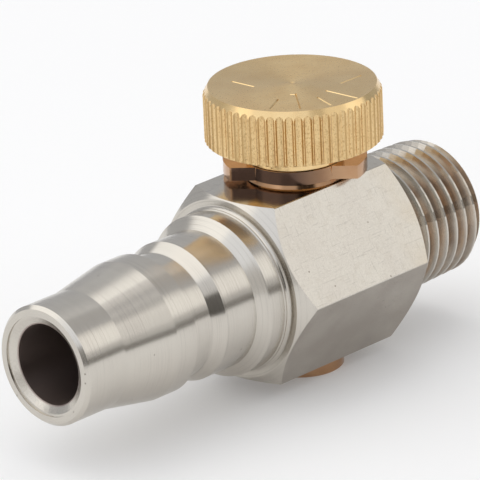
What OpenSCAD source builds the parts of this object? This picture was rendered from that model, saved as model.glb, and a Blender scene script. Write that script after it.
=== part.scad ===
// In-line needle valve with a quick-coupler plug nose and a taper pipe thread.
// Millimetres. +X runs along the flow axis and out of the threaded end, and +Z runs up the knob axis.
// The origin is the centre of the threaded end face.

/* [Hexagon] */
// Distance across the flats of the hexagon
hex_af = 17; // [16.5:0.5:19]
// Length of the hexagon with its chamfers
hex_len = 16.9; // [16.5:0.1:22]
// Length of the chamfer at the nose end of the hexagon
chamfer_front = 1.3; // [0.8:0.1:1.6]
// Length of the chamfer at the threaded end of the hexagon
chamfer_rear = 1.1; // [0.8:0.1:1.6]
// Radius where each chamfer starts, on the hexagon's end faces
hex_face_r = 8.4; // [8.2:0.1:8.5]

/* [Pipe thread] */
// Length from the hexagon to the threaded end
thread_len = 10.7; // [10.5:0.1:14]
// Crest radius of the taper thread at its small end
thread_r = 6.39; // [6.3:0.01:6.5]
// Thread pitch, 19 threads an inch
thread_pitch = 1.337; // [1.3:0.001:1.4]
// Depth of the thread
thread_depth = 0.82; // [0.6:0.01:0.86]

/* [Coupler nose] */
// Length from the hexagon to the tip
nose_len = 23.4; // [23:0.1:26]
// Radius of the sealing tip
tip_r = 5.55; // [5.4:0.05:5.7]
// Length of the sealing tip
tip_len = 4.8; // [4:0.1:5.5]
// Radius of the land and of the shoulder behind the ball groove
land_r = 6.5; // [6.3:0.05:6.7]
// Floor radius of the ball groove
groove_r = 5.85; // [5.6:0.05:6]
// Radius of the collar next to the hexagon
collar_r = 7.55; // [7.4:0.05:7.7]

/* [Flow path] */
// Radius of the bore from each end
bore_r = 3.75; // [3:0.05:3.9]
// Radius of the two passages between the bores and the valve chambers
passage_r = 1.5; // [1:0.1:1.6]
// Height of each passage above or below the flow axis
passage_z = 2.1; // [2:0.05:2.2]
// Radius of the valve seat's hole
seat_r = 1.32; // [1:0.02:1.4]

/* [Bonnet] */
// Radius of the round flange that stands on the body
hub_r = 4.65; // [4.6:0.05:4.8]
// Radius of the two wings
wing_r = 6.55; // [6:0.05:7]
// Distance across the two flats of the wings
wing_af = 6.2; // [5.5:0.1:7]
// Turn of the wings about the knob axis, in degrees
wing_turn = -49.3; // [-90:0.1:90]

/* [Knob] */
// Crest radius of the knurl
knob_r = 8.11; // [7.8:0.01:8.5]
// Underside of the closed knob above the flow axis
knob_z = 11.9; // [11.3:0.1:12]
// Height of the knob
knob_h = 5.18; // [5:0.01:6.5]
// Number of ridges
ridges = 60; // [48:72]
// Depth of the knurl
knurl_depth = 0.22; // [0.16:0.02:0.4]
// Turn of the knurl about the knob axis, in degrees
knurl_turn = 2; // [0:0.1:6]

/* [Needle] */
// Pitch of the stem thread
stem_pitch = 0.7; // [0.5:0.05:0.8]
// Radius of the stem thread
stem_r = 2; // [1.9:0.05:2]
// Radius of the stem's sealing collar
piston_r = 2.2; // [2.1:0.05:2.22]

/* [Hidden] */

$fn = 64;
eps = 0.01;
thread_segs = 48;
small_thread_segs = 24;

// Places along the flow axis
hex_rear_x = -thread_len;
hex_front_x = hex_rear_x - hex_len;
tip_x = hex_front_x - nose_len;
knob_x = hex_rear_x - 7.7;
top_z = hex_af / 2;
bottom_z = -hex_af / 2;

// Valve chambers
upper_r = 3.5;
lower_r = 2.25;
web = 0.5;
bore_stop = 5.2;

// Bonnet shank and its gland
shank_r = 3.97;
shank_hole_r = 4;
shank_hole_z = 5;
gland_r = 4.4;
gland_depth = 0.55;
ring_mid_r = 4.13;
ring_r = 0.26;
wing_z = top_z + 0.4;
wing_h = 1.25;
hub_top = wing_z + wing_h;
stem_hole_r = stem_r + 0.05;
piston_hole_r = 2.25;
piston_hole_top = 6.6;
bonnet_foot_z = 3.2;

// Bottom plug and its gland
plug_r = 2.96;
plug_hole_r = 3;
plug_hole_z = -5.4;
plug_head_r = 3.8;
plug_head_h = 1.65;
plug_gland_r = 3.62;
plug_gland_depth = 0.5;
plug_ring_mid_r = 3.33;
plug_ring_r = 0.24;

// Stem
needle_tip_z = -1.7;
needle_tip_r = 0.5;
needle_seat_r = 1.3;
neck_r = 1.75;
neck_z = 1.74;
piston_z = 3.35;
piston_top = 5.15;
groove_z = 3.82;
groove_h = 0.8;
stem_groove_r = 1.62;
stem_ring_mid_r = 1.93;
stem_ring_r = 0.3;
spigot_r = 1.74;
spigot_hole_r = 1.76;
spigot_z = hub_top + 0.03;
spigot_top = 15.2;
stem_flat = 1.4;

// Set screw
screw_r = 1.22;
screw_hole_r = 1.26;
screw_len = 3.6;
screw_turn = 45;
screw_z = spigot_top - 0.91;

// Knob details
knob_top_z = knob_z + knob_h;
knob_top_chamfer = [0.46, 0.8];
knob_low_chamfer = [0.2, 0.15];
boss_r = 4.45;
boss_z = hub_top + 0.05;
tick_depth = 0.1;
// Angle in degrees, inner radius and outer radius of each radial tick
ticks = [[-153, 4.5, 7.05], [-130.5, 3, 7.1], [-108, 4.7, 7.25], [-85.5, 3.9, 7.5]];

brass = [0.80, 0.64, 0.36];
brass_dark = [0.66, 0.47, 0.30];
nickel = [0.78, 0.76, 0.72];
nitrile = [0.07, 0.07, 0.07];
steel = [0.45, 0.45, 0.46];

// Turns a shape that is built along +Z to lie along +X
module along_x() {
    rotate([0, 90, 0]) children();
}

// Turned shape about the flow axis, from points of [radius, x]
module turned(points) {
    along_x() rotate_extrude($fn = 128) polygon(points);
}

// Places a shape on the knob axis
module on_knob_axis() {
    translate([knob_x, 0, 0]) children();
}

// Right-hand threaded rod along +Z from z0 to z1 with ragged ends, to be trimmed by the caller.
// crest_r is the crest radius at z = 0, and grows by 1/32 mm a millimetre towards -Z if tapered.
module threaded_rod(crest_r, depth, pitch, z0, z1, segs, taper = 0) {
    flat_w = pitch * 0.15;
    flank_w = pitch / 2 - flat_w;
    offsets = [0, flat_w, flat_w + flank_w, 2 * flat_w + flank_w];
    turns = ceil((z1 - z0) / pitch) + 2;
    cols = turns * segs;
    start = z0 - pitch;
    function height(c, m) = start + pitch * c / segs + offsets[m];
    function radius(c, m) = crest_r - (m < 2 ? depth : 0) - taper * height(c, m);
    function corner(c, m) = [radius(c, m) * cos(360 * c / segs),
                             radius(c, m) * sin(360 * c / segs), height(c, m)];
    low = (cols + 1) * 4;
    high = low + 1;
    points = concat([for (c = [0:cols]) for (m = [0:3]) corner(c, m)],
                    [[0, 0, start], [0, 0, start + pitch * (turns + 1)]]);
    sides = [for (c = [0:cols - 1]) for (m = [0:2])
        for (t = [[c * 4 + m, c * 4 + m + 1, c * 4 + m + 5], [c * 4 + m, c * 4 + m + 5, c * 4 + m + 4]]) t];
    joins = [for (c = [0:cols - segs - 1])
        for (t = [[c * 4 + 3, (c + segs) * 4, (c + segs + 1) * 4],
                  [c * 4 + 3, (c + segs + 1) * 4, c * 4 + 7]]) t];
    low_loop = concat([for (c = [0:segs]) c * 4], [3, 2, 1]);
    high_loop = concat([for (c = [cols - segs:cols]) c * 4 + 3], [cols * 4 + 2, cols * 4 + 1, cols * 4]);
    low_cap = [for (i = [0:len(low_loop) - 1])
        [low, low_loop[i], low_loop[(i + 1) % len(low_loop)]]];
    high_cap = [for (i = [0:len(high_loop) - 1])
        [high, high_loop[(i + 1) % len(high_loop)], high_loop[i]]];
    polyhedron(points, concat(sides, joins, low_cap, high_cap));
}

// Straight threaded shank between two heights with a chamfer at its far end
module shank(r, depth, pitch, z0, z1) {
    intersection() {
        threaded_rod(r, depth, pitch, z0, z1, small_thread_segs);
        translate([0, 0, z0]) cylinder(r = r + 1, h = z1 - z0);
    }
}

// Coupler nose: tip, cone, land, ball groove, shoulder, second cone and collar
module nose() {
    land_x = tip_x + 10.3;
    land_end = land_x + 2.35;
    floor_end = land_end + 2.5;
    shoulder_x = floor_end + 1.3;
    cone_x = shoulder_x + 3.75;
    collar_x = cone_x + 0.8;
    bead_x = hex_front_x - 0.65;
    fillet = 0.4;
    fillet_r = collar_r + 0.3;
    turned(concat(
        [[0, tip_x], [tip_r - 0.3, tip_x], [tip_r, tip_x + 0.35], [tip_r, tip_x + tip_len],
         [land_r, land_x], [land_r, land_end], [groove_r + 0.15, land_end + 0.1],
         [groove_r, land_end + 0.3], [groove_r, floor_end], [land_r, shoulder_x],
         [land_r, cone_x], [collar_r - 0.1, collar_x], [collar_r, collar_x + 0.1],
         [collar_r, bead_x], [collar_r + 0.1, bead_x + 0.08], [collar_r + 0.1, bead_x + 0.2],
         [fillet_r - fillet, bead_x + 0.25]],
        [for (a = [0:15:90]) [fillet_r - fillet * cos(a), hex_front_x - fillet + fillet * sin(a)]],
        [[fillet_r, hex_front_x + 1], [0, hex_front_x + 1]]));
}

// Hexagon bar with a turned chamfer at each end and slightly worn corners
module hexagon() {
    corner_r = hex_af / 2 / cos(30);
    corner_wear = 0.03;
    intersection() {
        translate([hex_front_x, 0, 0]) along_x() cylinder(r = corner_r - corner_wear, h = hex_len, $fn = 128);
        translate([hex_front_x, 0, 0]) along_x() rotate([0, 0, 30])
            cylinder(r = corner_r, h = hex_len, $fn = 6);
        turned([[0, hex_front_x], [hex_face_r, hex_front_x], [corner_r + 0.05, hex_front_x + chamfer_front],
                [corner_r + 0.05, hex_rear_x - chamfer_rear], [hex_face_r, hex_rear_x], [0, hex_rear_x]]);
    }
}

// Taper pipe thread with an end chamfer and a plain neck next to the hexagon
module pipe_thread() {
    neck_len = 0.9;
    neck_end = hex_rear_x + neck_len;
    root_r = thread_r - thread_depth;
    intersection() {
        along_x() threaded_rod(thread_r, thread_depth, thread_pitch, neck_end, 0, thread_segs, 1 / 32);
        turned([[0, hex_rear_x + 0.4], [root_r + 0.3, hex_rear_x + 0.4], [root_r + 0.3, neck_end],
                [thread_r + 0.5, neck_end + 0.9], [thread_r + 0.5, -1.2], [root_r, 0], [0, 0]]);
    }
    turned([[0, hex_rear_x - 1], [root_r + 0.3, hex_rear_x - 1], [root_r + 0.3, neck_end],
            [root_r + 0.05, neck_end + 0.5], [0, neck_end + 0.5]]);
}

module flow_path() {
    // Bores from the two ends
    translate([tip_x - 1, 0, 0]) along_x() cylinder(r = bore_r, h = knob_x - bore_stop - tip_x + 1);
    translate([knob_x + bore_stop, 0, 0]) along_x() cylinder(r = bore_r, h = 1 - knob_x - bore_stop);
    // Countersink and step in the tip
    turned([[0, tip_x - 1], [4.65, tip_x - 1], [4.65, tip_x + 0.18], [4.45, tip_x + 0.22],
            [bore_r, tip_x + 0.62], [0, tip_x + 0.62]]);
    // Passages to the chambers
    translate([knob_x, 0, passage_z]) along_x() cylinder(r = passage_r, h = bore_stop + 1);
    translate([knob_x - bore_stop - 1, 0, -passage_z]) along_x() cylinder(r = passage_r, h = bore_stop + 1);
}

module chambers() {
    on_knob_axis() {
        translate([0, 0, web]) cylinder(r = upper_r, h = top_z);
        translate([0, 0, shank_hole_z]) cylinder(r = shank_hole_r, h = top_z);
        translate([0, 0, top_z - gland_depth]) cylinder(r = gland_r, h = top_z);
        translate([0, 0, -web - 1]) cylinder(r = seat_r, h = 2 * web + 2);
        translate([0, 0, bottom_z - 1]) cylinder(r = lower_r, h = -bottom_z - web + 1);
        translate([0, 0, bottom_z - 1]) cylinder(r = plug_hole_r, h = plug_hole_z - bottom_z + 1);
        translate([0, 0, bottom_z - 1]) cylinder(r = plug_gland_r, h = plug_gland_depth + 1);
    }
}

module valve_body() {
    color(nickel) difference() {
        union() {
            nose();
            hexagon();
            pipe_thread();
        }
        flow_path();
        chambers();
    }
}

// Screwed bonnet: round hub with two wings, a threaded shank and a plain foot
module bonnet() {
    shank_top = top_z - 0.75;
    foot_r = 4.6;
    foot_top_r = 4.45;
    color(brass_dark) on_knob_axis() difference() {
        union() {
            rotate_extrude()
                polygon([[0, top_z], [foot_r, top_z], [foot_top_r, wing_z], [hub_r, wing_z],
                         [hub_r, hub_top], [0, hub_top]]);
            translate([0, 0, wing_z]) rotate([0, 0, wing_turn]) intersection() {
                cylinder(r = wing_r, h = wing_h, $fn = 96);
                translate([-wing_r - 1, -wing_af / 2, 0]) cube([2 * wing_r + 2, wing_af, wing_h]);
            }
            translate([0, 0, shank_top - 0.3]) cylinder(r = shank_r - 0.12, h = top_z - shank_top + 0.6);
            shank(shank_r, 0.5, 1, shank_hole_z + 0.2, shank_top);
            translate([0, 0, bonnet_foot_z]) cylinder(r = upper_r - 0.05, h = 3);
        }
        translate([0, 0, bonnet_foot_z - 1]) cylinder(r = stem_hole_r, h = 20);
        translate([0, 0, bonnet_foot_z - 1])
            cylinder(r = piston_hole_r, h = piston_hole_top - bonnet_foot_z + 1);
    }
}

// Rubber ring about the knob axis
module ring(mid_r, r, z) {
    color(nitrile) on_knob_axis() translate([0, 0, z]) rotate_extrude()
        translate([mid_r, 0]) circle(r = r, $fn = 32);
}

module bonnet_oring() {
    ring(ring_mid_r, ring_r, top_z - gland_depth / 2);
}

// Screwed plug that closes the lower chamber, with a screwdriver slot
module bottom_plug() {
    slot_w = 0.9;
    slot_depth = 0.8;
    color(brass_dark) on_knob_axis() difference() {
        union() {
            translate([0, 0, bottom_z]) rotate_extrude()
                polygon([[0, 0], [plug_head_r, 0], [plug_head_r, -plug_head_h + 0.12],
                         [plug_head_r - 0.12, -plug_head_h], [0, -plug_head_h]]);
            translate([0, 0, bottom_z - 0.3]) cylinder(r = plug_r - 0.12, h = 1.2);
            shank(plug_r, 0.4, 0.75, bottom_z + 0.7, plug_hole_z - 0.2);
        }
        translate([-plug_head_r - 1, -slot_w / 2, bottom_z - plug_head_h - 1])
            cube([2 * plug_head_r + 2, slot_w, slot_depth + 1]);
    }
}

module bottom_plug_oring() {
    ring(plug_ring_mid_r, plug_ring_r, bottom_z + plug_gland_depth / 2);
}

// Stem with the needle cone, the sealing collar, the lifting thread and the knob spigot
module needle_stem() {
    color(brass) on_knob_axis() difference() {
        union() {
            rotate_extrude()
                polygon([[0, needle_tip_z], [needle_tip_r, needle_tip_z], [needle_seat_r, web],
                         [neck_r, neck_z], [neck_r, piston_z - 0.3], [piston_r, piston_z],
                         [piston_r, groove_z], [stem_groove_r, groove_z],
                         [stem_groove_r, groove_z + groove_h], [piston_r, groove_z + groove_h],
                         [piston_r, piston_top], [stem_r - 0.45, piston_top + 0.2],
                         [stem_r - 0.45, spigot_z], [spigot_r, spigot_z], [spigot_r, spigot_top - 0.3],
                         [spigot_r - 0.3, spigot_top], [0, spigot_top]]);
            shank(stem_r, 0.4, stem_pitch, piston_top + 0.6, spigot_z);
        }
        rotate([0, 0, screw_turn]) translate([stem_flat, -2, screw_z - 1.5]) cube([2, 4, 3.5]);
    }
}

module stem_oring() {
    ring(stem_ring_mid_r, stem_ring_r, groove_z + groove_h / 2);
}

// Outline of the straight knurl: narrow crests with hollow grooves between them.
// Each ridge's points are [part of a ridge's step, part of the knurl's depth].
function knurl_points() = let (step = 360 / ridges)
    [for (i = [0:ridges - 1]) for (p = [[-0.05, 0], [0.05, 0], [0.18, 0.68], [0.5, 1], [0.82, 0.68]])
        let (r = knob_r - p[1] * knurl_depth, a = knurl_turn + (i + p[0]) * step) [r * cos(a), r * sin(a)]];

// V groove on the top face between two points of [radius, angle]
module mark(a, b) {
    from = [a[0] * cos(a[1]), a[0] * sin(a[1])];
    to = [b[0] * cos(b[1]), b[0] * sin(b[1])];
    turn = atan2(to[1] - from[1], to[0] - from[0]);
    side = tick_depth * sqrt(2);
    translate([from[0], from[1], knob_top_z - tick_depth]) rotate([0, 0, turn])
        rotate([45, 0, 0]) cube([norm(to - from), side, side]);
}

module knob() {
    blank_r = knob_r + eps;
    color(brass) on_knob_axis() difference() {
        union() {
            intersection() {
                translate([0, 0, knob_z]) linear_extrude(knob_h) polygon(knurl_points());
                rotate_extrude($fn = 128)
                    polygon([[0, knob_z], [blank_r - knob_low_chamfer[0], knob_z],
                             [blank_r, knob_z + knob_low_chamfer[1]],
                             [blank_r, knob_top_z - knob_top_chamfer[1]],
                             [blank_r - knob_top_chamfer[0], knob_top_z], [0, knob_top_z]]);
            }
            translate([0, 0, boss_z]) cylinder(r = boss_r, h = knob_z - boss_z + 1);
        }
        translate([0, 0, boss_z - 1]) cylinder(r = spigot_hole_r, h = spigot_top - boss_z + 1.1);
        translate([0, 0, knob_top_z - 0.05]) cylinder(r1 = 0.1, r2 = 0.5, h = 0.1);
        rotate([0, 0, screw_turn]) translate([0, 0, screw_z])
            along_x() cylinder(r = screw_hole_r, h = knob_r + 1);
        for (t = ticks) mark([t[1], t[0]], [t[2], t[0]]);
        mark([3.15, -140], [3.2, -129]);
        mark([5.5, 124], [3.5, 145]);
        mark([4.4, -55], [6.35, -35]);
    }
}

// Socket set screw that holds the knob on the stem's flat
module knob_set_screw() {
    socket_af = 1.3;
    color(steel) on_knob_axis() rotate([0, 0, screw_turn]) translate([stem_flat + 0.02, 0, screw_z])
        along_x() difference() {
            rotate_extrude($fn = 48)
                polygon([[0, 0], [screw_r - 0.35, 0], [screw_r, 0.35], [screw_r, screw_len - 0.15],
                         [screw_r - 0.15, screw_len], [0, screw_len]]);
            translate([0, 0, screw_len - 1.4]) cylinder(r = socket_af / 2 / cos(30), h = 2, $fn = 6);
        }
}

valve_body();
bonnet();
bonnet_oring();
bottom_plug();
bottom_plug_oring();
needle_stem();
stem_oring();
knob();
knob_set_screw();
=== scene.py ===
"""Looks, light and camera for the in-line needle valve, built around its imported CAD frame."""
import math

import bpy
from mathutils import Matrix, Vector


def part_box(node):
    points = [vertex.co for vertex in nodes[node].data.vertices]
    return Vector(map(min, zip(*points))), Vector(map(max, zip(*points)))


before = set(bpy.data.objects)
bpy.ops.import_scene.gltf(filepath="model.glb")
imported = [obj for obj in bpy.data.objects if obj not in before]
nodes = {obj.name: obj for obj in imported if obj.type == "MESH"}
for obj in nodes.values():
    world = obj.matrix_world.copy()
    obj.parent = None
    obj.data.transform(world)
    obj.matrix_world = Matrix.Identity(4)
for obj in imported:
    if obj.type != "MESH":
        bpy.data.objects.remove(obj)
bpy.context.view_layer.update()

MM = 0.001
knob_low, knob_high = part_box("knob")
body_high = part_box("valve_body")[1]
# Where the knob axis crosses the flow axis
KNOB_AXIS = Vector(((knob_low.x + knob_high.x) / 2, 0, 0))
FLOOR_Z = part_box("bottom_plug")[0].z
# From the flow axis to a flat of the hexagon, and to the underside of the bonnet's flange
HEX_FLAT_R = body_high.z
FLANGE_Z = HEX_FLAT_R + 0.4 * MM
# Where the thread starts, and its crest radius halfway along its taper
THREAD_X = body_high.x - 10.7 * MM
THREAD_R = 6.55 * MM
# Radii of the bores at both ends, of the knob over its ridges, and of the bonnet's wings
BORE_R = 3.75 * MM
KNOB_R = 8.11 * MM
WING_R = 6.55 * MM

# ---------------------------------------------------------------- camera

# An azimuth of -45 degrees stands off the nose's tip and the front side alike. The camera aims at a point
# beside KNOB_AXIS in its own view, from VIEW_DISTANCE away.
VIEW_AZIMUTH = math.radians(-45.33)
VIEW_ELEVATION = math.radians(21.12)
VIEW_ROLL = math.radians(-2.46)
VIEW_DISTANCE = 528.7 * MM
AIM_RIGHT, AIM_UP = -5.37 * MM, 1.75 * MM
LENS, SENSOR_WIDTH = 435.2, 36


def make_camera():
    """Long-lens camera that looks down on the nose, with the knob axis near the middle of the frame."""
    turn, tilt = VIEW_AZIMUTH, VIEW_ELEVATION
    back = Vector((math.sin(turn) * math.cos(tilt), -math.cos(turn) * math.cos(tilt), math.sin(tilt)))
    level = Vector((math.cos(turn), math.sin(turn), 0))
    upright = back.cross(level)
    right = level * math.cos(VIEW_ROLL) + upright * math.sin(VIEW_ROLL)
    up = upright * math.cos(VIEW_ROLL) - level * math.sin(VIEW_ROLL)
    place = KNOB_AXIS + right * AIM_RIGHT + up * AIM_UP + back * VIEW_DISTANCE
    data = bpy.data.cameras.new("camera")
    data.lens = LENS
    data.sensor_width = SENSOR_WIDTH
    data.clip_start = 0.01
    data.clip_end = 10
    camera = bpy.data.objects.new("camera", data)
    bpy.context.collection.objects.link(camera)
    axes = Matrix((right, up, back)).transposed()
    camera.matrix_world = Matrix.Translation(place) @ axes.to_4x4()
    bpy.context.scene.camera = camera


# ---------------------------------------------------------------- node helpers


class Nodes:
    """A node tree with short names for the nodes that the looks below are made of."""

    def __init__(self, tree):
        self.tree = tree
        self.coords = tree.nodes.new("ShaderNodeTexCoord")

    def node(self, kind, inputs=None, **settings):
        made = self.tree.nodes.new(kind)
        for key, value in settings.items():
            setattr(made, key, value)
        for key, value in (inputs or {}).items():
            self.put(made.inputs[key], value)
        return made

    def put(self, socket, value):
        """Links an output to the socket, or sets the socket's own value."""
        if isinstance(value, bpy.types.NodeSocket):
            self.tree.links.new(value, socket)
        else:
            socket.default_value = value

    def math(self, operation, a, b=0.0, c=0.0):
        return self.node("ShaderNodeMath", {0: a, 1: b, 2: c}, operation=operation).outputs[0]

    def times(self, *factors):
        product = factors[0]
        for factor in factors[1:]:
            product = self.math("MULTIPLY", product, factor)
        return product

    def total(self, *terms):
        result = terms[0]
        for term in terms[1:]:
            result = self.math("ADD", result, term)
        return result

    def size(self, value):
        """Value without its sign."""
        return self.math("ABSOLUTE", value)

    def split(self, vector):
        """X, Y and Z of a vector."""
        return self.node("ShaderNodeSeparateXYZ", {0: vector}).outputs

    def ramp(self, value, low, high, out_low=0.0, out_high=1.0, soft=False):
        """Value taken from low..high to out_low..out_high and held there outside."""
        made = self.node("ShaderNodeMapRange", {
            "Value": value, "From Min": low, "From Max": high, "To Min": out_low, "To Max": out_high})
        if soft:
            made.interpolation_type = "SMOOTHSTEP"
        return made.outputs[0]

    def distance(self, a, b):
        """Root of a squared plus b squared."""
        return self.math("SQRT", self.total(self.times(a, a), self.times(b, b)))

    def stretched(self, scale):
        """Place on the object in metres times a scale for each axis."""
        place = self.coords.outputs["Object"]
        return self.node("ShaderNodeMapping", {"Vector": place, "Scale": scale}).outputs[0]

    def noise(self, scale, detail=2.0, vector=None):
        made = self.node("ShaderNodeTexNoise", {
            "Vector": vector or self.coords.outputs["Object"], "Scale": scale, "Detail": detail})
        return made.outputs[0]

    def rings(self, place, scale, detail=3.0):
        """Noise that changes along one measure only, such as a radius, so that it draws turning lines."""
        made = self.node("ShaderNodeTexNoise", {"W": place, "Scale": scale, "Detail": detail},
                         noise_dimensions="1D")
        return made.outputs[0]

    def spots(self, scale, radius, share):
        """Sparse round spots in a share of the cells. The radius is in cells, and scale is cells a metre."""
        cells = self.node("ShaderNodeTexVoronoi", {"Vector": self.coords.outputs["Object"], "Scale": scale})
        chosen = self.math("LESS_THAN", self.split(cells.outputs["Color"])[0], share)
        return self.times(chosen, self.ramp(cells.outputs["Distance"], radius, radius * 0.5, 0.0, 1.0))

    def mix(self, factor, a, b):
        """Colour a where the factor is 0, and b where it is 1."""
        return self.node("ShaderNodeMix", {0: factor, 6: a, 7: b}, data_type="RGBA").outputs[2]

    def blend(self, factor, a, b):
        """Number a where the factor is 0, and b where it is 1."""
        return self.node("ShaderNodeMix", {0: factor, 2: a, 3: b}, data_type="FLOAT").outputs[0]


class Shader(Nodes):
    """A material with a Principled surface."""

    def __init__(self, name):
        self.material = bpy.data.materials.new(name)
        self.material.use_nodes = True
        super().__init__(self.material.node_tree)
        self.surface = self.tree.nodes["Principled BSDF"]
        self.place = self.split(self.coords.outputs["Object"])
        self.facing = self.split(self.coords.outputs["Normal"])
        self.tone = None

    def tint(self, mask, color):
        """Lays a colour over the tone so far, where the mask says."""
        self.tone = self.mix(mask, self.tone, color)

    def bump(self, height, depth):
        """Normal with the height map, which runs from 0 to 1, raised by depth metres."""
        return self.node("ShaderNodeBump", {"Strength": 1.0, "Distance": depth, "Height": height}).outputs[0]

    def set(self, **inputs):
        for key, value in inputs.items():
            self.put(self.surface.inputs[key.replace("_", " ")], value)

    def turned_about(self, axis, amount):
        """Stretches reflections across tool marks that run round an axis."""
        tangent = self.node("ShaderNodeTangent", direction_type="RADIAL", axis=axis)
        self.set(Tangent=tangent.outputs[0], Anisotropic=amount, Anisotropic_Rotation=0.25)


# ---------------------------------------------------------------- materials


def nickel():
    """Nickel plate: lathe lines round the flow axis, milled flats, thread roots browned by tarnish and
    painted shade, and painted shade on the undersides, bores and lower flats.
    """
    s = Shader("nickel_plate")
    x, y, z = s.place
    nx, ny, nz = s.facing
    radius = s.distance(y, z)

    # Where the hexagon's flats, the turned rounds, the end faces, the thread and the bores are
    end_face = s.ramp(s.size(nx), 0.85, 0.95)
    hexagon = s.ramp(radius, HEX_FLAT_R - 0.15 * MM, HEX_FLAT_R - 0.05 * MM)
    flat = s.times(hexagon, s.ramp(s.size(nx), 0.05, 0.15, 1.0, 0.0))
    top_flat = s.times(flat, s.ramp(nz, 0.9, 0.95))
    turned = s.math("SUBTRACT", 1.0, flat)
    thread = s.ramp(x, THREAD_X, THREAD_X + 0.3 * MM)
    root = s.times(s.ramp(radius, THREAD_R - 0.05 * MM, THREAD_R - 0.3 * MM), thread)
    bore = s.times(s.ramp(radius, BORE_R + 0.15 * MM, BORE_R + 0.05 * MM),
                   s.math("SUBTRACT", 1.0, end_face))

    # Lathe lines, scratches across the flats, and a fine grain all over
    along = s.blend(end_face, x, radius)
    fine = s.rings(along, 12000.0, 2.0)
    broad = s.rings(along, 4200.0, 3.0)
    scratches = s.total(s.ramp(s.noise(1.0, 2.0, s.stretched((9000, 700, 500))), 0.62, 0.7),
                        s.ramp(s.noise(1.0, 2.0, s.stretched((500, 5000, 8000))), 0.62, 0.7))
    grain = s.noise(6000.0, 3.0)
    height = s.total(s.times(s.total(s.times(fine, 0.8), s.times(broad, 0.8)), turned),
                     s.times(grain, s.blend(flat, 0.18, 0.35)), s.times(scratches, flat, -0.5))

    # Plate in two close tones, with the lines and scratches a little darker
    patches = s.noise(260.0, 3.0)
    s.tone = s.mix(s.ramp(patches, 0.35, 0.7), (0.625, 0.59, 0.53, 1), (0.60, 0.562, 0.505, 1))
    lines = s.times(s.ramp(s.total(s.times(fine, 0.5), s.times(broad, 0.5)), 0.52, 0.68), turned)
    s.tint(s.times(lines, s.ramp(patches, 0.3, 0.65, 0.1, 0.6)), (0.42, 0.39, 0.35, 1))
    s.tint(s.times(scratches, flat, 0.32), (0.36, 0.34, 0.31, 1))

    # Wear: flats yellowed towards the thread and mottled, and small dark specks
    yellowed = s.times(flat, s.ramp(x, THREAD_X - 4 * MM, THREAD_X), s.ramp(patches, 0.4, 0.65, 0.1, 0.5))
    s.tint(yellowed, (0.63, 0.53, 0.38, 1))
    s.tint(s.times(s.ramp(s.noise(1300.0, 4.0), 0.5, 0.75), flat, 0.25), (0.50, 0.45, 0.38, 1))
    s.tint(s.times(s.spots(900.0, 0.1, 0.12), 0.85), (0.20, 0.17, 0.14, 1))

    # Thread roots browned, partly by tarnish and partly as painted shade, kept light along the top where the
    # overhead light falls
    streaks = s.noise(1.0, 4.0, s.stretched((2200, 260, 260)))
    stain_and_shade = s.mix(s.ramp(streaks, 0.38, 0.62), (0.52, 0.375, 0.26, 1), (0.26, 0.20, 0.155, 1))
    root_tarnish_and_shade = s.times(root, s.ramp(z, 5.8 * MM, 4.4 * MM, 0.1, 1.0))
    s.tint(s.times(root_tarnish_and_shade, s.ramp(s.noise(330.0, 3.0), 0.3, 0.6, 0.45, 0.95)), stain_and_shade)

    # Painted shade: turned undersides, bores and lower flats darker, the bores browner too
    # Painted shade on the downward-facing turned surfaces
    s.tint(s.times(turned, s.ramp(nz, 0.1, -0.6, 0.0, 0.3)), (0.42, 0.375, 0.325, 1))
    # Painted shade inside the bores, tinted brown
    s.tint(bore, (0.30, 0.235, 0.21, 1))
    # Painted shade on the lower hexagon flats, mottled
    painted_shade_low_flat = s.times(flat, s.ramp(nz, -0.2, -0.4))
    s.tint(s.times(painted_shade_low_flat, s.ramp(patches, 0.3, 0.6, 0.75, 1.0)), (0.38, 0.34, 0.295, 1))

    rough = s.blend(flat, s.ramp(fine, 0.3, 0.7, 0.18, 0.26), s.ramp(grain, 0.3, 0.7, 0.20, 0.28))
    rough = s.blend(top_flat, rough, 0.12)
    rough = s.blend(thread, rough, 0.23)
    rough = s.blend(bore, rough, 0.4)
    s.set(Base_Color=s.tone, Metallic=1.0, Roughness=rough, Normal=s.bump(height, 0.7e-6))
    s.turned_about("X", 0.75)
    return s.material


class Brass(Shader):
    """Turned brass with tool marks about the knob axis, a faint tarnish and small dark specks."""

    def __init__(self, name, bright, dark):
        super().__init__(name)
        x, y, z = self.place
        slope = self.size(self.facing[2])
        self.aside = self.math("SUBTRACT", x, KNOB_AXIS.x)
        self.from_axis = self.distance(self.aside, y)
        self.wall = self.ramp(slope, 0.1, 0.3, 1.0, 0.0)
        along = self.blend(self.ramp(slope, 0.6, 0.9), z, self.from_axis)
        self.marks = self.total(self.times(self.rings(along, 9000.0, 3.0), 0.5),
                                self.times(self.rings(along, 1600.0, 2.0), 0.4))
        self.grain = self.noise(5200.0, 3.0)
        self.tone = self.mix(self.ramp(self.noise(420.0, 4.0), 0.35, 0.72), bright, dark)
        self.tint(self.times(self.spots(1100.0, 0.10, 0.08), 0.7), (0.16, 0.09, 0.04, 1))

    def finish(self, grain_depth, rough, stretch):
        """Surface with the grain on the walls only, as deep as asked, and reflections stretched."""
        height = self.total(self.marks, self.times(self.grain, self.wall, grain_depth))
        self.set(Base_Color=self.tone, Metallic=1.0, Roughness=rough, Normal=self.bump(height, 0.8e-6))
        self.turned_about("Z", stretch)
        return self.material


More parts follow.
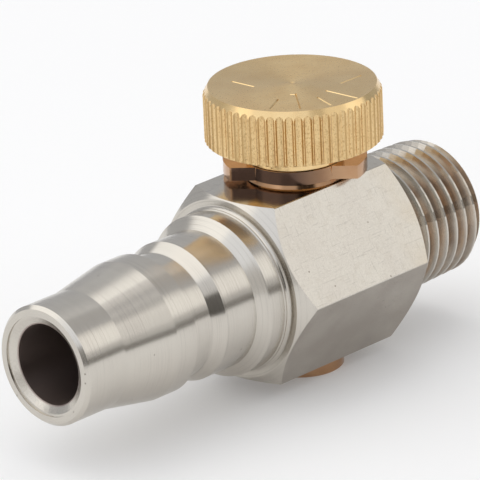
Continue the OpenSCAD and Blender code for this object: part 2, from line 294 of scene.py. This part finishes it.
def machined_brass():
    """Smooth reddish brass of the bonnet, plug and stem, with painted shade on the front of the bonnet's hub
    and foot under the knob.
    """
    s = Brass("brass_machined", (0.54, 0.33, 0.19, 1), (0.45, 0.255, 0.14, 1))
    # Painted shade under the knob: the front of the hub wall and the foot darkened
    on_foot = s.ramp(s.aside, -3.1 * MM, -1.9 * MM, 0.0, 0.9)
    on_flange = s.ramp(s.aside, -3.5 * MM, 1 * MM, 0.95, 0.0)
    stain_and_shade = s.blend(s.ramp(s.place[2], FLANGE_Z - 0.02 * MM, FLANGE_Z + 0.02 * MM), on_foot, on_flange)
    above_hexagon = s.ramp(s.place[2], HEX_FLAT_R - 0.1 * MM, HEX_FLAT_R)
    inside_wings = s.ramp(s.from_axis, WING_R - 0.05 * MM, WING_R - 0.2 * MM)
    s.tint(s.times(stain_and_shade, s.wall, above_hexagon, inside_wings), (0.085, 0.052, 0.042, 1))
    return s.finish(0.15, s.ramp(s.grain, 0.3, 0.7, 0.12, 0.2), 0.3)


def knob_brass():
    """Yellow brass with a coarse, pitted knurl whose flanks are browned by grime and painted shade, and
    smooth chamfers and boss.
    """
    s = Brass("brass_knob", (0.86, 0.63, 0.325, 1), (0.79, 0.55, 0.265, 1))
    knurl = s.times(s.wall, s.ramp(s.from_axis, KNOB_R - 1 * MM, KNOB_R - 0.9 * MM))
    pits = s.ramp(s.noise(1.0, 2.0, s.stretched((7500, 7500, 4500))), 0.5, 0.68, 0.0, 0.6)
    # Knurl flanks darkened brown: grime, and painted shade in the grooves
    flank_grime_and_shade = s.times(s.ramp(s.from_axis, KNOB_R - 0.17 * MM, KNOB_R - 0.13 * MM),
                    s.ramp(s.from_axis, KNOB_R - 0.02 * MM, KNOB_R - 0.05 * MM, 0.0, 0.65))
    s.tint(s.times(s.math("MAXIMUM", flank_grime_and_shade, pits), knurl), (0.46, 0.27, 0.10, 1))
    from_chamfer = s.size(s.math("SUBTRACT", s.facing[2], 0.5))
    boss = s.math("SUBTRACT", s.wall, knurl)
    rough = s.ramp(s.grain, 0.3, 0.7, 0.26, 0.34)
    rough = s.blend(s.ramp(from_chamfer, 0.15, 0.3, 1.0, 0.0), rough, 0.18)
    rough = s.blend(boss, rough, 0.15)
    return s.finish(s.times(knurl, 5.0), rough, 0.8)


def nitrile():
    """Matte black rubber with a fine mould grain."""
    s = Shader("nitrile")
    grain = s.noise(3000.0, 2.0)
    s.tone = s.mix(grain, (0.012, 0.012, 0.012, 1), (0.03, 0.03, 0.03, 1))
    s.set(Base_Color=s.tone, Roughness=s.ramp(grain, 0.3, 0.7, 0.45, 0.65), Normal=s.bump(grain, 4e-6))
    return s.material


def black_steel():
    """Black oxide steel with a fine grain."""
    s = Shader("black_steel")
    grain = s.noise(2500.0, 3.0)
    s.tone = s.mix(grain, (0.05, 0.05, 0.055, 1), (0.11, 0.11, 0.12, 1))
    s.set(Base_Color=s.tone, Metallic=1.0, Roughness=s.ramp(grain, 0.3, 0.7, 0.3, 0.45),
          Normal=s.bump(grain, 2e-6))
    return s.material


def dress(node, material):
    """Gives a CAD node its material."""
    slots = nodes[node].data.materials
    slots.clear()
    slots.append(material)


# ---------------------------------------------------------------- stage and light


def make_floor():
    """Plain pale floor that the bottom plug rests on. A faint glow of its own keeps it near white."""
    s = Shader("pale_floor")
    s.tone = s.mix(s.ramp(s.noise(8.0), 0.3, 0.7), (0.83, 0.83, 0.83, 1), (0.815, 0.815, 0.815, 1))
    s.set(Base_Color=s.tone, Roughness=0.8, Emission_Color=(1.0, 0.99, 0.98, 1), Emission_Strength=0.155)
    half_side = 1.6
    corners = [(-half_side, -half_side, FLOOR_Z), (half_side, -half_side, FLOOR_Z),
               (half_side, half_side, FLOOR_Z), (-half_side, half_side, FLOOR_Z)]
    mesh = bpy.data.meshes.new("floor")
    mesh.from_pydata(corners, [], [(0, 1, 2, 3)])
    mesh.materials.append(s.material)
    floor = bpy.data.objects.new("floor", mesh)
    bpy.context.collection.objects.link(floor)


class Surroundings(Nodes):
    """Studio light from far away, as soft-edged patches of brightness over the sky's directions."""

    def __init__(self):
        world = bpy.data.worlds.new("studio")
        world.use_nodes = True
        bpy.context.scene.world = world
        super().__init__(world.node_tree)
        self.background = self.tree.nodes["Background"]
        x, y, z = self.split(self.coords.outputs["Generated"])
        degrees = 180 / math.pi
        self.elevation = self.times(self.math("ARCSINE", z), degrees)
        self.turn = self.times(self.math("ARCTAN2", y, x), degrees)
        self.light = (0.70, 0.695, 0.69, 1)

    def patch(self, turn, elevation, half_width, half_height, softness, color):
        """Patch around a direction in degrees. A half width of 180 goes all the way round."""
        aside = self.size(self.math("WRAP", self.math("SUBTRACT", self.turn, turn), 180.0, -180.0))
        above = self.size(self.math("SUBTRACT", self.elevation, elevation))
        mask = self.ramp(above, half_height, half_height + softness, 1.0, 0.0, soft=True)
        if half_width < 180:
            near = self.ramp(aside, half_width, half_width + softness * 2, 1.0, 0.0, soft=True)
            mask = self.times(mask, near)
        self.light = self.mix(mask, self.light, color)

    def finish(self):
        self.put(self.background.inputs[0], self.light)


def make_surroundings():
    """Softboxes and cards. A turn of 0 is off the thread, 180 off the nose and -135 behind the camera."""
    sky = Surroundings()
    # Softbox overhead
    sky.patch(0, 90, 180, 30, 8, (1.40, 1.39, 1.38, 1))
    # Grey card behind the thread, softbox on the left, and grey cards low behind the valve
    sky.patch(20, 25, 38, 25, 12, (0.58, 0.59, 0.61, 1))
    sky.patch(130, 40, 52, 18, 8, (1.42, 1.42, 1.42, 1))
    sky.patch(80, 10, 55, 13, 6, (0.52, 0.53, 0.55, 1))
    sky.patch(2, 18, 22, 14, 9, (0.44, 0.45, 0.46, 1))
    # Bluish softbox above the camera
    sky.patch(-155, 42, 38, 14, 6, (1.04, 1.08, 1.16, 1))
    # On the right: pale card, bright strip in it, grey card over it and dark strip on the horizon
    sky.patch(-62, 30, 24, 10, 6, (0.92, 0.91, 0.90, 1))
    sky.patch(-43, 28, 12, 10, 4, (1.26, 1.245, 1.22, 1))
    sky.patch(-28, 56, 24, 9, 6, (0.52, 0.52, 0.53, 1))
    sky.patch(-60, 2, 40, 4, 4, (0.25, 0.24, 0.23, 1))
    # Black card low beside the camera, which draws the dark line along the nose
    sky.patch(-113, 8, 16, 20, 5, (0.04, 0.035, 0.03, 1))
    sky.finish()


# ---------------------------------------------------------------- scene

make_camera()
make_surroundings()
make_floor()

brass = machined_brass()
rubber = nitrile()
dress("valve_body", nickel())
dress("knob", knob_brass())
for turned_part in ("bonnet", "bottom_plug", "needle_stem"):
    dress(turned_part, brass)
for seal in ("bonnet_oring", "bottom_plug_oring", "stem_oring"):
    dress(seal, rubber)
dress("knob_set_screw", black_steel())

scene = bpy.context.scene
scene.view_settings.view_transform = "Standard"
